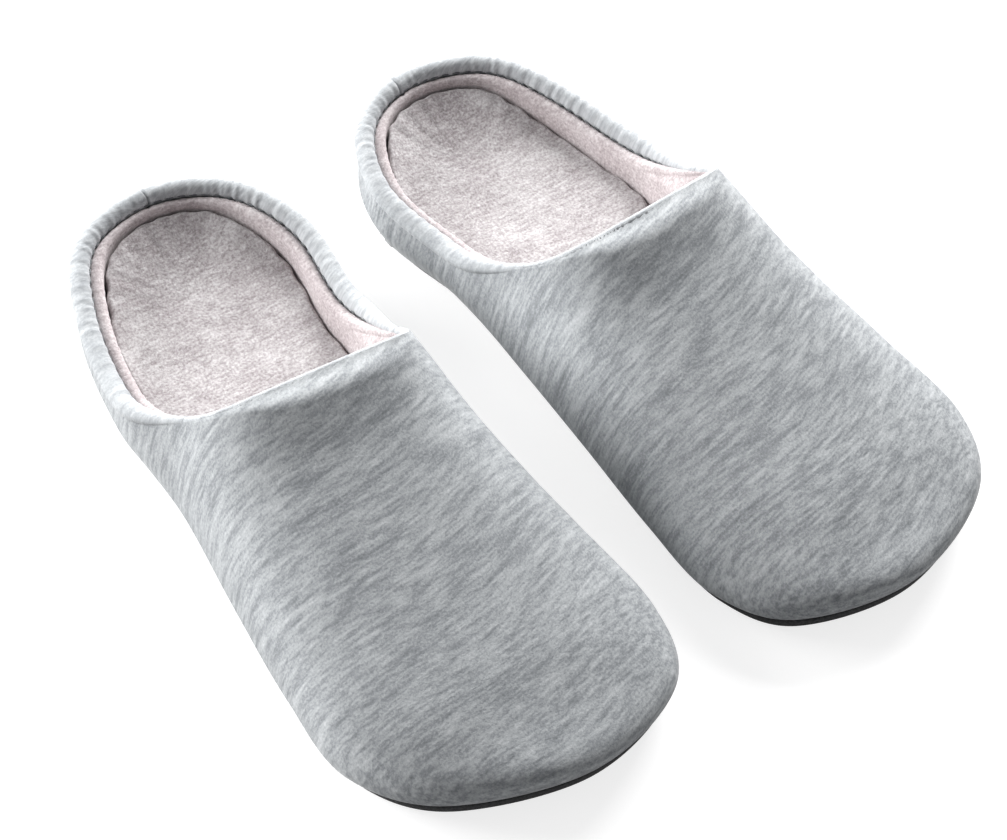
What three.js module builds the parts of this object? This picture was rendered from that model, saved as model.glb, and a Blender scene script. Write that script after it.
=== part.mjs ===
// A pair of closed-toe spa slippers: knitted jersey uppers over foam, terry lining and footbed,
// and a flexible rubber outsole with a little toe spring. Units are millimetres.
// Each slipper is drawn in its own frame: x to the outside of the foot (lateral), y from the
// heel to the toe, z up from the floor. The left slipper is the right one mirrored.
import * as THREE from "three";
import { LoftGeometry } from "three/addons/geometries/LoftGeometry.js";
import { mergeVertices } from "three/addons/utils/BufferGeometryUtils.js";

// ---- Driving dimensions ----
const LENGTH = 270; // heel to toe over the knit, an EU 42 house slipper
const BALL_WIDTH = 110.5; // over the knit at the ball of the foot
const PAIR_SPACING = 129; // between the two slippers, measured at mid-length
const TOE_OUT = 3.9; // degrees that each toe points outwards

const HEEL_WALL = 40; // topline above the floor behind the heel
const WAIST_WALL = 33; // topline at its lowest, beside the arch
const MOUTH_RISE = 42.5; // climb from the waist to the middle of the mouth, where MOUTH_AT is
const WAIST_AT = 0.24; // share of the length where the topline starts to climb
const MOUTH_AT = 0.49; // share of the length where it has climbed MOUTH_RISE
const TOE_SPRING = 8.5; // lift of the toe tip off the floor
const SPRING_FROM = 0.75; // share of the length where the sole leaves the floor

const OUTSOLE = 3.5; // rubber thickness
const MIDSOLE_HEEL = 6.5; // foam wedge under the heel
const MIDSOLE_TOE = 3.5; // and under the toes
const INSOLE_BOARD = 1.5;
const FOOTBED_FOAM = 4.5;
const FOOTBED_TERRY = 2.2;
const FOOTBED_DISH = 1.5; // how much lower the footbed is along its middle
const HEEL_CUP = 7.5; // how far the footbed's edge climbs the wall behind the heel
const HEEL_CUP_LENGTH = 45; // and how far forward that climb reaches

const KNIT = 0.8; // jersey skin of the upper
const COUNTER = 0.8; // heel stiffener
const FOAM_VAMP = 2.0; // padding of the upper over the foot
const FOAM_HEEL = 3.2; // and round the heel
const LINING = 1.2; // terry
const HEEL_PUFF = 5.5; // how far the padded heel wall stands out from the last
const ROLL_RADIUS = 4.2; // rolled collar round the heel
const HEM_RADIUS = 1.9; // folded edge of the mouth
const THREAD_RADIUS = 0.45;
const LASTING_MARGIN = 13; // knit turned in under the insole board

const GAP = 0.3; // between pieces that touch
const CORE_CLEARANCE = 1.0; // sole core to the knit round it
const THREAD_CLEARANCE = 0.75; // collar thread to the lining under it
const BED_CLEARANCE = THREAD_CLEARANCE + 2 * THREAD_RADIUS + 2 * GAP; // footbed to lining, past the thread
const SHELL_LIFT = 1.2; // padding and lining above the insole board
const COLLAR_CLEARANCE = 1.1; // collar and hem to the walls' ends

// ---- The last: half breadths as shares of BALL_WIDTH at shares of LENGTH ----
const LAST = [
  { along: 0.035, lateral: 0.24, medial: 0.225 },
  { along: 0.13, lateral: 0.357, medial: 0.348 },
  { along: 0.27, lateral: 0.412, medial: 0.335 },
  { along: 0.42, lateral: 0.425, medial: 0.389 },
  { along: 0.57, lateral: 0.461, medial: 0.448 },
  { along: 0.72, lateral: 0.489, medial: 0.511 },
  { along: 0.85, lateral: 0.48, medial: 0.543 },
  { along: 0.95, lateral: 0.3, medial: 0.434 },
];
const TOE_TIP = -0.09; // the toe tip leans to the big toe, as a share of BALL_WIDTH
const BULGE = 10.5; // height where the upper is widest
const FEATHER_ROUND = 5; // how far the upper rolls in below its widest level
const SOLE_FOOT_INSET = 6; // outsole on the floor, in from the upper's widest line
const SOLE_ROUND_INSET = 5; // and where its edge's rounding ends
const SOLE_ROUND = 1;
const SOLE_TOP_INSET = 4.2;
const SOLE_TOE_STEP = 1.4; // how much further out the outsole comes at the toe
const SECTION_POWER = 2.45; // roundness of the last's cross sections
const TOE_POWER = 2.6; // and of the toe's side profile
const TOE_FROM = 0.715; // share of the length where the toe starts to round down
const HEEL_ROUND = 22; // the last's top rounds down over this length behind the heel
const SPINE = [ // height of the last's middle at shares of LENGTH
  [0, 91],
  [0.2, 91],
  [0.42, 82.5],
  [0.57, 60.5],
  [0.72, 45.5],
  [0.87, 31],
  [1, 28],
];

const AROUND = 36; // facets round a slipper: two between stations
const ROWS = 5; // rows up the upper
const ROLL_STEPS = 26;
const HEM_STEPS = 30;
const COLLAR_END = 4 / 18; // where the roll meets the mouth: the fourth station
const COUNTER_END = 0.13;

const clamp = THREE.MathUtils.clamp;
const lerp = THREE.MathUtils.lerp;
const smoothstep = THREE.MathUtils.smoothstep;

// Finds where a rising function passes zero between low and high.
function crossing(rising, low, high) {
  for (let pass = 0; pass < 26; pass++) {
    const middle = (low + high) / 2;
    if (rising(middle) < 0) low = middle;
    else high = middle;
  }
  return (low + high) / 2;
}

// ---- Outline of the last at its widest level ----
function lastOutline() {
  const at = (station, breadth) =>
    new THREE.Vector3(breadth * BALL_WIDTH, station.along * LENGTH, 0);
  const lateral = LAST.map((station) => at(station, station.lateral));
  const medial = LAST.map((station) => at(station, -station.medial)).reverse();
  const heel = new THREE.Vector3(0, 0, 0);
  const toe = new THREE.Vector3(TOE_TIP * BALL_WIDTH, LENGTH, 0);
  return new THREE.CatmullRomCurve3([heel, ...lateral, toe, ...medial], true, "catmullrom", 0.5);
}
const outline = lastOutline();
const wrap = (u) => ((u % 1) + 1) % 1;

// Outward direction of the outline, seen from above.
function outwards(u) {
  const tangent = outline.getTangent(wrap(u));
  return new THREE.Vector3(tangent.y, -tangent.x, 0).normalize();
}

// Both sides of the outline at a distance from the heel, from a fine table of the curve.
const TABLE = 400;
const lateralSide = Array.from({ length: TABLE + 1 }, (_, i) => outline.getPoint(i / TABLE / 2));
const medialSide = Array.from({ length: TABLE + 1 }, (_, i) => outline.getPoint(wrap(-i / TABLE / 2)));
function breadthAt(y) {
  const last = lateralSide.length - 1;
  let low = 0;
  let high = last;
  while (high - low > 1) {
    const middle = (low + high) >> 1;
    if (lateralSide[middle].y < y) low = middle;
    else high = middle;
  }
  const share = clamp((y - lateralSide[low].y) / (lateralSide[high].y - lateralSide[low].y), 0, 1);
  return {
    lateral: lerp(lateralSide[low].x, lateralSide[high].x, share),
    medial: lerp(medialSide[low].x, medialSide[high].x, share),
  };
}

// ---- Height of the last ----
// A smooth curve through the spine heights, with slopes that never overshoot.
function spineHeight(y) {
  const along = clamp(y / LENGTH, 0, 0.9999);
  let i = 0;
  while (SPINE[i + 1][0] <= along) i++;
  const slope = (k) => (SPINE[k + 1][1] - SPINE[k][1]) / (SPINE[k + 1][0] - SPINE[k][0]);
  const knotSlope = (k) => {
    if (k === 0 || k === SPINE.length - 1) return 0;
    const before = slope(k - 1);
    const after = slope(k);
    return before * after <= 0 ? 0 : (2 * before * after) / (before + after);
  };
  const span = SPINE[i + 1][0] - SPINE[i][0];
  const t = (along - SPINE[i][0]) / span;
  const rise = SPINE[i + 1][1] - SPINE[i][1];
  const start = knotSlope(i) * span;
  const end = knotSlope(i + 1) * span;
  return SPINE[i][1] + start * t + (3 * rise - 2 * start - end) * t * t + (start + end - 2 * rise) * t ** 3;
}

const rounded = (share, power) => (1 - clamp(share, 0, 1) ** power) ** (1 / power);

function lastHeight(x, y) {
  const { lateral, medial } = breadthAt(y);
  const middle = (lateral + medial) / 2;
  const across = Math.abs(x - middle) / Math.max((lateral - medial) / 2, 0.001);
  const toe = (y - TOE_FROM * LENGTH) / ((1 - TOE_FROM) * LENGTH);
  const heel = (HEEL_ROUND - y) / HEEL_ROUND;
  const full = rounded(across, SECTION_POWER) * rounded(toe, TOE_POWER) * rounded(heel, 4);
  return BULGE + (spineHeight(y) - BULGE) * full;
}

// ---- Topline: where the upper ends, low round the heel and climbing to the mouth ----
function toplineHeight(y) {
  const along = y / LENGTH;
  const dip = Math.sin((clamp(along / WAIST_AT, 0, 1) * Math.PI) / 2) ** 2;
  const climb = clamp((along - WAIST_AT) / (MOUTH_AT - WAIST_AT), 0, 1.5);
  return lerp(HEEL_WALL, WAIST_WALL, dip) + MOUTH_RISE * climb * climb;
}

// Where the last's surface meets the topline on the way from the outline to the foot's middle.
const FOOT_MIDDLE = new THREE.Vector3(0, 0.27 * LENGTH, 0);
const reachOf = new Map();
function reach(u) {
  const key = Math.round(wrap(u) * 1e6);
  if (!reachOf.has(key)) {
    const start = outline.getPoint(wrap(u));
    const above = (share) => {
      const p = start.clone().lerp(FOOT_MIDDLE, share);
      return lastHeight(p.x, p.y) - toplineHeight(p.y);
    };
    let step = 0.01;
    while (step < 1 && above(step) < 0) step += 0.01;
    reachOf.set(key, crossing(above, step - 0.01, step));
  }
  return reachOf.get(key);
}

// ---- The outer skin: u runs round the slipper from the heel over the lateral side, ----
// ---- t from the lasting margin (-2) over the feather edge (-1) and the widest level (0) ----
// ---- up to the topline (1) ----
const heelShare = (u) => 1 - smoothstep(outline.getPoint(wrap(u)).y / LENGTH, 0.28, 0.42);
const marginLevel = OUTSOLE + GAP;

function wallPoint(u, t) {
  const rim = outline.getPoint(wrap(u));
  const out = outwards(u);
  if (t < 0) {
    const turn = clamp(1 + t, 0, 1) * (Math.PI / 2);
    const inset = FEATHER_ROUND * (1 - Math.sin(turn)) + Math.max(-1 - t, 0) * LASTING_MARGIN;
    const z = BULGE - (BULGE - marginLevel) * Math.cos(turn);
    return rim.addScaledVector(out, puff(u, z) - inset).setZ(z);
  }
  const onLast = rim.lerp(FOOT_MIDDLE, reach(u) * t ** 2.2);
  const z = Math.max(lastHeight(onLast.x, onLast.y), BULGE);
  return onLast.addScaledVector(out, puff(u, z)).setZ(z);
}

// The padded heel wall stands out from the last, fully so above the sole.
function puff(u, z) {
  return HEEL_PUFF * heelShare(u) * smoothstep(z, marginLevel, 20);
}

// A point below the skin by a depth, measured square to it.
function under(u, t, depth) {
  const du = 0.003;
  const dt = 0.01;
  const high = Math.min(t + dt, 1);
  const low = Math.max(t - dt, -2);
  const alongRim = wallPoint(u + du, t).sub(wallPoint(u - du, t));
  const upWall = wallPoint(u, high).sub(wallPoint(u, low));
  const normal = alongRim.cross(upWall).normalize();
  return wallPoint(u, t).addScaledVector(normal, -depth);
}

// The t where the face at a depth below the skin is at a level.
const levelAt = (u, level, depth) => crossing((t) => under(u, t, depth).z - level, -1, 1);

// The t that lies a distance short of the topline.
function setBack(u, distance) {
  const top = wallPoint(u, 1);
  return crossing((t) => distance - wallPoint(u, t).distanceTo(top), 0.2, 1);
}

// ---- Wall build-up, outside to inside ----
const collarRadius = (u) => lerp(HEM_RADIUS, ROLL_RADIUS, heelShare(u));
const wallEnd = (u) => setBack(u, 2 * collarRadius(u) + COLLAR_CLEARANCE);
const counterShare = (u) => 1 - smoothstep(Math.abs(wrap(u + 0.5) - 0.5), 0.14, 0.19);
const foamOuter = (u) => KNIT + GAP + (COUNTER + GAP) * counterShare(u);
function foamInner(u, t) {
  const full = lerp(FOAM_VAMP, FOAM_HEEL, heelShare(u));
  const pinch = smoothstep(t, 0.75, 1) * (1 - heelShare(u));
  return foamOuter(u) + full * (1 - 0.55 * pinch);
}
const liningOuter = (u, t) => foamInner(u, t) + GAP;
const liningInner = (u, t) => liningOuter(u, t) + LINING;

// ---- Decks of the sole, from the floor up, before the toe is sprung ----
const midsoleTop = (y) => {
  const midsole = lerp(MIDSOLE_HEEL, MIDSOLE_TOE, smoothstep(y / LENGTH, 0.25, 0.75));
  return marginLevel + KNIT + GAP + midsole;
};
const boardTop = (y) => midsoleTop(y) + GAP + INSOLE_BOARD;
const heelCup = (y) => HEEL_CUP * (1 - smoothstep(y, 0, HEEL_CUP_LENGTH));
const foamTop = (y) => boardTop(y) + GAP + FOOTBED_FOAM + heelCup(y);

// ---- Lofts to closed bodies ----
// An end section folded flat onto its own middle, which closes a loft with a plane face.
function foldedFlat(section) {
  const last = section.length - 1;
  return section.map((point, i) => point.clone().add(section[last - i]).multiplyScalar(0.5));
}

// Folds an inner or under face along the same diagonals as the face across the wall from it, so
// that nested pieces stay clear: its columns are those from the first given column on.
function matchDiagonals(loft, columns, firstColumn) {
  const index = loft.getIndex();
  for (let quad = 0; quad < index.count / 6; quad++) {
    if (quad % columns < firstColumn) continue;
    const [a, b, c, d] = [0, 1, 4, 2].map((corner) => index.getX(quad * 6 + corner));
    [a, b, c, a, c, d].forEach((corner, k) => index.setX(quad * 6 + k, corner));
  }
}

// Bends the toe up, welds seams, drops faces that closed to a line and turns the skin outwards.
function closedBody(sections, hasEnds, firstInner = Infinity) {
  const ends = hasEnds ? [foldedFlat(sections[0]), foldedFlat(sections.at(-1))] : [];
  const whole = hasEnds ? [ends[0], ...sections, ends[1]] : sections;
  const loft = new LoftGeometry(whole.map((section) => section.map(springToe)));
  matchDiagonals(loft, sections[0].length, firstInner);
  const skin = new THREE.BufferGeometry();
  skin.setIndex(loft.getIndex());
  skin.setAttribute("position", loft.getAttribute("position"));
  const body = mergeVertices(skin, 1e-3);
  const corners = body.getIndex().array;
  const at = (i) => new THREE.Vector3().fromBufferAttribute(body.getAttribute("position"), i);
  const faces = [];
  let volume = 0;
  for (let i = 0; i < corners.length; i += 3) {
    const [a, b, c] = [corners[i], corners[i + 1], corners[i + 2]];
    if (a === b || b === c || c === a) continue;
    faces.push([a, b, c]);
    volume += at(a).dot(at(b).cross(at(c)));
  }
  body.setIndex(faces.map((face) => (volume < 0 ? face.reverse() : face)).flat());
  body.computeVertexNormals();
  return body;
}

function springToe(point) {
  const bend = clamp((point.y / LENGTH - SPRING_FROM) / (1 - SPRING_FROM), 0, 1.05);
  return point.clone().setZ(point.z + TOE_SPRING * bend * bend);
}

const steps = (count) => Array.from({ length: count + 1 }, (_, i) => i / count);

// A slab of the sole: an edge of points, bottom to top, swept from heel to toe on both sides.
// A dip lowers the middle of a face, more so inside the heel cup.
function slab(edge, topDips = false, bottomDips = false) {
  const sections = steps(AROUND / 2).map((share) => {
    const lateral = edge(share / 2);
    const medial = edge(wrap(-share / 2)).reverse();
    const middle = (a, b, dips) => {
      const dip = dips ? (FOOTBED_DISH + 0.4 * heelCup(a.y)) * Math.min(a.distanceTo(b) / 60, 1) : 0;
      return a.clone().add(b).multiplyScalar(0.5).add(new THREE.Vector3(0, 0, -dip));
    };
    const crown = middle(lateral.at(-1), medial[0], topDips);
    const keel = middle(medial.at(-1), lateral[0], bottomDips);
    return [...lateral, crown, ...medial, keel];
  });
  return closedBody(sections, false, sections[0].length - 2);
}

// A wall of the upper that goes right round: outer face up, inner face down.
function ring(wallSection) {
  const sections = steps(AROUND).map((share) => wallSection(wrap(share)));
  return closedBody(sections, false, sections[0].length / 2);
}

// The t values of the wall's rows: all walls share them, so they nest.
function wallRows(u) {
  const foot = levelAt(u, boardTop(outline.getPoint(u).y) + GAP + SHELL_LIFT, foamOuter(u));
  const end = wallEnd(u);
  return steps(ROWS).map((share) => lerp(foot, end, share));
}

// ---- Sole pieces ----
function outsole() {
  return slab((u) => {
    const rim = outline.getPoint(u);
    const out = outwards(u);
    const step = SOLE_TOE_STEP * (1 - smoothstep(Math.abs(u - 0.5), 0.045, 0.125));
    const edge = (inset, z) => rim.clone().addScaledVector(out, step - inset).setZ(z);
    return [
      edge(SOLE_FOOT_INSET, 0),
      edge(SOLE_ROUND_INSET, SOLE_ROUND),
      edge(SOLE_TOP_INSET, OUTSOLE),
    ];
  });
}

function midsole() {
  return slab((u) => {
    const bottom = marginLevel + KNIT + GAP;
    const top = midsoleTop(outline.getPoint(u).y);
    return [bottom, (bottom + top) / 2, top].map((level) => coreEdge(u, level));
  });
}

function coreEdge(u, level) {
  const depth = KNIT + CORE_CLEARANCE;
  return under(u, levelAt(u, level, depth), depth).setZ(level);
}

function insoleBoard() {
  return slab((u) => {
    const top = boardTop(outline.getPoint(u).y);
    return [coreEdge(u, top - INSOLE_BOARD), coreEdge(u, top)];
  });
}

function bedEdge(u, level, inset = 0) {
  const depth = liningInner(u, 0.3) + BED_CLEARANCE + inset;
  return under(u, levelAt(u, level, depth), depth).setZ(level);
}

function footbedFoam() {
  return slab((u) => {
    const { y } = outline.getPoint(u);
    return [bedEdge(u, boardTop(y) + GAP), bedEdge(u, foamTop(y))];
  }, true);
}

function footbedTerry() {
  return slab((u) => {
    const bottom = foamTop(outline.getPoint(u).y) + GAP;
    return [
      bedEdge(u, bottom),
      bedEdge(u, bottom + FOOTBED_TERRY * 0.6),
      bedEdge(u, bottom + FOOTBED_TERRY, 1.2),
    ];
  }, true, true);
}

// ---- Upper pieces ----
function upperKnit() {
  return ring((u) => {
    const rows = [-2, -1, -0.5, 0, ...wallRows(u)];
    const outer = rows.map((t) => wallPoint(u, t));
    const inner = rows.map((t) => under(u, t, KNIT)).reverse();
    return [...outer, ...inner];
  });
}

function upperFoam() {
  return ring((u) => {
    const rows = wallRows(u);
    const outer = rows.map((t) => under(u, t, foamOuter(u)));
    const inner = rows.map((t) => under(u, t, foamInner(u, t))).reverse();
    return [...outer, ...inner];
  });
}

function upperLining() {
  return ring((u) => {
    const rows = wallRows(u);
    const outer = rows.map((t) => under(u, t, liningOuter(u, t)));
    const inner = rows.map((t) => under(u, t, liningInner(u, t))).reverse();
    return [...outer, ...inner];
  });
}

function heelCounter() {
  const places = steps(AROUND).filter((share) => Math.abs(share - 0.5) <= COUNTER_END);
  const sections = places.map((share) => {
    const u = wrap(share - 0.5);
    const rows = wallRows(u).slice(0, ROWS);
    const outer = rows.map((t) => under(u, t, KNIT + GAP));
    const inner = rows.map((t) => under(u, t, KNIT + GAP + COUNTER)).reverse();
    return [...outer, ...inner];
  });
  return closedBody(sections, true, ROWS);
}

// ---- Collar: a frame on the wall's end, across the wall and up along it ----
function collarFrame(u) {
  const radius = collarRadius(u);
  const t = setBack(u, radius);
  const depth = liningInner(u, 1) / 2;
  const centre = under(u, t, depth);
  const across = under(u, t, 0).sub(under(u, t, 1)).normalize();
  const up = wallPoint(u, t + 0.01).sub(wallPoint(u, t - 0.01)).normalize();
  const at = (angle, r) =>
    centre.clone().addScaledVector(across, r * Math.sin(angle)).addScaledVector(up, -r * Math.cos(angle));
  return { radius, centre, at };
}

const collarPlaces = steps(ROLL_STEPS).map((share) => lerp(-COLLAR_END, COLLAR_END, share) * 0.996);

// The rolled knit: a strip bent to a tube that is open along its underside, round its cord.
function collarRoll() {
  const sections = collarPlaces.map((u) => {
    const { radius, at } = collarFrame(u);
    const angles = steps(7).map((share) => lerp(0.45, 2 * Math.PI - 0.45, share));
    const outer = angles.map((angle) => at(angle, radius));
    const inner = angles.map((angle) => at(angle, radius - KNIT)).reverse();
    return [...outer, ...inner];
  });
  return closedBody(sections, true);
}

function collarCord() {
  const sections = collarPlaces.map((u) => {
    const { radius, at } = collarFrame(u);
    const cord = (radius - KNIT) * Math.cos(Math.PI / 7) - GAP;
    return steps(7).slice(0, 7).map((share) => at(2 * Math.PI * share, cord));
  });
  return closedBody(sections, true);
}

function mouthHem() {
  const places = steps(HEM_STEPS).map((share) => lerp(COLLAR_END, 1 - COLLAR_END, share));
  const sections = places.map((u) => {
    const { radius, at } = collarFrame(u);
    return steps(8).slice(0, 8).map((share) => at(2 * Math.PI * share, radius));
  });
  return closedBody(sections, true);
}

// The lockstitch thread that closes the collar seam on the lining side.
function collarThread() {
  const sections = collarPlaces.map((u) => {
    const t = wallEnd(u) - 0.06;
    const depth = liningInner(u, t) + THREAD_CLEARANCE + THREAD_RADIUS;
    const centre = under(u, t, depth);
    const across = under(u, t, 0).sub(under(u, t, 1)).normalize();
    return steps(4).slice(0, 4).map((share) => {
      const angle = 2 * Math.PI * share;
      const point = centre.clone().addScaledVector(across, THREAD_RADIUS * Math.sin(angle));
      return point.setZ(point.z + THREAD_RADIUS * Math.cos(angle));
    });
  });
  return closedBody(sections, true);
}

// ---- The pieces of one slipper, with their finishes ----
const PIECES = [
  { name: "outsole", shape: outsole(), color: 0x3b3b3c, roughness: 0.85 },
  { name: "midsole", shape: midsole(), color: 0xe4dfd6, roughness: 0.9 },
  { name: "insole_board", shape: insoleBoard(), color: 0xb79f80, roughness: 0.95 },
  { name: "footbed_foam", shape: footbedFoam(), color: 0xe8e4da, roughness: 0.95 },
  { name: "footbed_terry", shape: footbedTerry(), color: 0xcdc1c2, roughness: 1 },
  { name: "upper_knit", shape: upperKnit(), color: 0xb4babe, roughness: 0.95 },
  { name: "upper_foam", shape: upperFoam(), color: 0xeceae4, roughness: 0.95 },
  { name: "upper_lining", shape: upperLining(), color: 0xc2b4b5, roughness: 1 },
  { name: "heel_counter", shape: heelCounter(), color: 0xd8d2c6, roughness: 0.9 },
  { name: "collar_roll", shape: collarRoll(), color: 0xa9afb3, roughness: 0.95 },
  { name: "collar_cord", shape: collarCord(), color: 0xefede8, roughness: 0.95 },
  { name: "collar_thread", shape: collarThread(), color: 0x6f7376, roughness: 0.9 },
  { name: "mouth_hem", shape: mouthHem(), color: 0xc3c8cb, roughness: 0.95 },
];

function slipper(side) {
  const group = new THREE.Group();
  for (const { name, shape, color, roughness } of PIECES) {
    const material = new THREE.MeshStandardMaterial({ color, roughness, metalness: 0 });
    const mesh = new THREE.Mesh(shape, material);
    mesh.name = `${side}_${name}`;
    mesh.position.y = -LENGTH / 2;
    group.add(mesh);
  }
  return group;
}

// ---- The pair, side by side on the floor, with its box's bottom centre at the origin ----
function pairOfSlippers() {
  const pair = new THREE.Group();
  const right = slipper("right");
  right.position.x = PAIR_SPACING / 2;
  right.rotation.z = -THREE.MathUtils.degToRad(TOE_OUT);
  const left = slipper("left");
  left.scale.x = -1;
  left.position.x = -PAIR_SPACING / 2;
  left.rotation.z = THREE.MathUtils.degToRad(TOE_OUT);
  pair.add(right, left);
  pair.updateMatrixWorld(true);
  const box = new THREE.Box3().setFromObject(pair, true);
  pair.position.y = -(box.min.y + box.max.y) / 2;
  return pair;
}

export default pairOfSlippers();
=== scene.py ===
import math

import bmesh
import bpy
import numpy as np
from mathutils import Matrix, Vector, noise


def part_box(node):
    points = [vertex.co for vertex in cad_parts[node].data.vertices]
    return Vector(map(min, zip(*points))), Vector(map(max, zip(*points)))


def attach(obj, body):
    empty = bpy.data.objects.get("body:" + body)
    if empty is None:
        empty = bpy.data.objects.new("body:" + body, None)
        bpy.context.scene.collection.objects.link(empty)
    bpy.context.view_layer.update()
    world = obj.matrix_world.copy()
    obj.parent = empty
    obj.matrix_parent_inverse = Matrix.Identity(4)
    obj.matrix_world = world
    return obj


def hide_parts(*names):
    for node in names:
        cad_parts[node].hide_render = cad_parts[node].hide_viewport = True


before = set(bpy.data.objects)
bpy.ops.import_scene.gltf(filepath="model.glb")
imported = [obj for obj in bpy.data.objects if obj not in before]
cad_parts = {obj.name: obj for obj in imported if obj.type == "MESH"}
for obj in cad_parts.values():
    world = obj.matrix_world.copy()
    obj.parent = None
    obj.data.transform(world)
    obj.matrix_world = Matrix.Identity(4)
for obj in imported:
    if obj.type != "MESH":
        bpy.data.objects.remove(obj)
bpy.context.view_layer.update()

# A pair of closed-toe spa slippers. Each slipper is worked out in its own frame in millimetres,
# x to the outside of the foot, y from the heel to the toe and z up, and then set in the pair.
MM = 0.001

# ---- Sizes the pieces share with the solid model, in millimetres ----
LENGTH = 270.0
BALL_WIDTH = 110.5
PAIR_SPACING = 129.0
TOE_OUT = math.radians(3.9)
HEEL_WALL = 40.0
WAIST_WALL = 33.0
MOUTH_RISE = 42.5
WAIST_AT = 0.24
MOUTH_AT = 0.49
TOE_SPRING = 8.5
SPRING_FROM = 0.75
OUTSOLE = 3.5
MIDSOLE_HEEL = 6.5
MIDSOLE_TOE = 3.5
INSOLE_BOARD = 1.5
FOOTBED_FOAM = 4.5
FOOTBED_TERRY = 2.2
FOOTBED_DISH = 1.5
HEEL_CUP = 7.5
HEEL_CUP_LENGTH = 45.0
KNIT = 0.8
COUNTER = 0.8
FOAM_VAMP = 2.0
FOAM_HEEL = 3.2
LINING = 1.2
HEEL_PUFF = 5.5
LASTING_MARGIN = 13.0
GAP = 0.3
SHELL_LIFT = 1.2
BULGE = 10.5
FEATHER_ROUND = 5.0
SECTION_POWER = 2.45
TOE_FROM = 0.715
HEEL_ROUND = 22.0
MARGIN_LEVEL = OUTSOLE + GAP

# Half breadths of the last as shares of BALL_WIDTH: (share of LENGTH, outside, inside).
LAST = (
    (0.035, 0.24, 0.225),
    (0.13, 0.357, 0.348),
    (0.27, 0.412, 0.335),
    (0.42, 0.425, 0.389),
    (0.57, 0.461, 0.448),
    (0.72, 0.489, 0.511),
    (0.85, 0.48, 0.543),
    (0.95, 0.3, 0.434),
)
TOE_TIP = -0.09

# Heights of the last's middle: (share of LENGTH, height). The last two differ from the solid's 31
# and 28, which makes the toe fuller behind its tip and steeper over it.
SPINE = ((0, 91), (0.2, 91), (0.42, 82.5), (0.57, 60.5), (0.72, 45.5), (0.87, 34), (1, 24))
FOOT_MIDDLE = np.array((0.0, 0.27 * LENGTH))
ROW_CROWD = 2.2  # crowds the rows of the wall to its widest level, where it turns most

# Where round or along the slipper a feature fades out: from and to.
HEEL_PART = (0.28, 0.42)  # shares of LENGTH, as the next two
STRIP_PART = (0.29, 0.44)
PILLOW_PART = (0.45, 0.6)
COUNTER_PART = (0.14, 0.19)  # shares of the outline, round from the heel, as the next
FLAT_HEEL_PART = (0.02, 0.085)
SOLE_TOE_PART = (0.045, 0.125)  # shares of the outline, round from the toe

# ---- Sizes of the finish, in millimetres ----
ROLL = 3.5  # radius of the rolled jersey round the heel
ROLL_DEPTH = 2.0  # its middle, in from the skin
ROLL_RISE = 0.9  # how far it stands over the topline
HEM = 1.6  # radius of the folded edge of the mouth
HEM_DEPTH = HEM + 0.05  # its middle, in from the skin
STRIP = 2.5  # radius of the padded terry edge inside the roll
STRIP_DEPTH = 7.7  # its middle, in from the skin, where it is fullest
STRIP_DROP = 1.7  # how much lower the terry edge stands than the roll
VALLEY_DEPTH = 5.6  # the seam between them, in from the skin
VALLEY_DROP = 3.0  # and down from the topline
MOUTH_EDGE = 0.75  # radius of the lining's edge under the mouth's hem
MOUTH_EDGE_DEPTH = 2.6  # its middle, in from the skin
COLLAR_END = 4 / 18  # where the roll has become the mouth's hem
JOINS = {"right": 0.002, "left": 0.989}  # where the collar's ends are joined, round from the heel
RIM_LENGTH = 720.0  # length round the outline, near enough to space puckers by
JOIN_WIDTH = 0.5  # half the width of the collar's join
JOIN_BUILD = 9.0  # how far the doubled cloth beside the join stays thicker
PILLOW = 3.4  # how much the padding swells the inner wall round the footbed
BED_INSET = 0.9  # footbed to the lining
BED_CUP = 5.0  # how much further the terry climbs behind the heel than its foam
BED_CUP_PART = (2, 70)  # where along the foot it comes down again
CORE_DEPTH = KNIT + 1.0  # midsole and board, in from the skin
COUNTER_SPAN = 0.26  # the heel counter's share of the outline
TOE_POWER = 2.2  # roundness of the toe's side profile, a little softer than the solid's
SOLE_TOE_STEP = 1.4  # how much further out the outsole comes at the toe
TREAD_PITCH = 7.0
TREAD_DEPTH = 1.1
# The outsole's section at its edge: (in from the outline, height).
OUTSOLE_EDGE = ((5.5, 0.0), (4.75, 0.3), (4.35, 1.0), (4.2, 2.4), (4.2, 3.2), (4.6, OUTSOLE))
STITCH = 3.0  # length of a collar stitch
STITCH_PITCH = 4.2
THREAD = 0.36  # radius of the collar's thread
COURSE_SKEW = 0.42  # how far the knit's courses lean to the heel, for each step to one side
COURSE_SWEEP = 0.22  # and for each step down the sides
SKEW_ROUND = 22.0  # over how much breadth the courses turn into their lean
SIDE_ROUND = 8.0  # and over how much the cloth turns from the top to the sides


def smooth(value, low, high):
    share = np.clip((value - low) / (high - low), 0.0, 1.0)
    return share * share * (3 - 2 * share)


def mix(a, b, share):
    return a + (b - a) * share


# Finds where a rising function of an array passes zero.
def crossing(rising, low, high):
    for _ in range(24):
        middle = (low + high) / 2
        below = rising(middle) < 0
        low = np.where(below, middle, low)
        high = np.where(below, high, middle)
    return (low + high) / 2


# ---- The last ----
def last_knots():
    outside = [(out * BALL_WIDTH, along * LENGTH) for along, out, _ in LAST]
    inside = [(-into * BALL_WIDTH, along * LENGTH) for along, _, into in reversed(LAST)]
    return np.array([(0.0, 0.0), *outside, (TOE_TIP * BALL_WIDTH, LENGTH), *inside])


KNOTS = last_knots()


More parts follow.
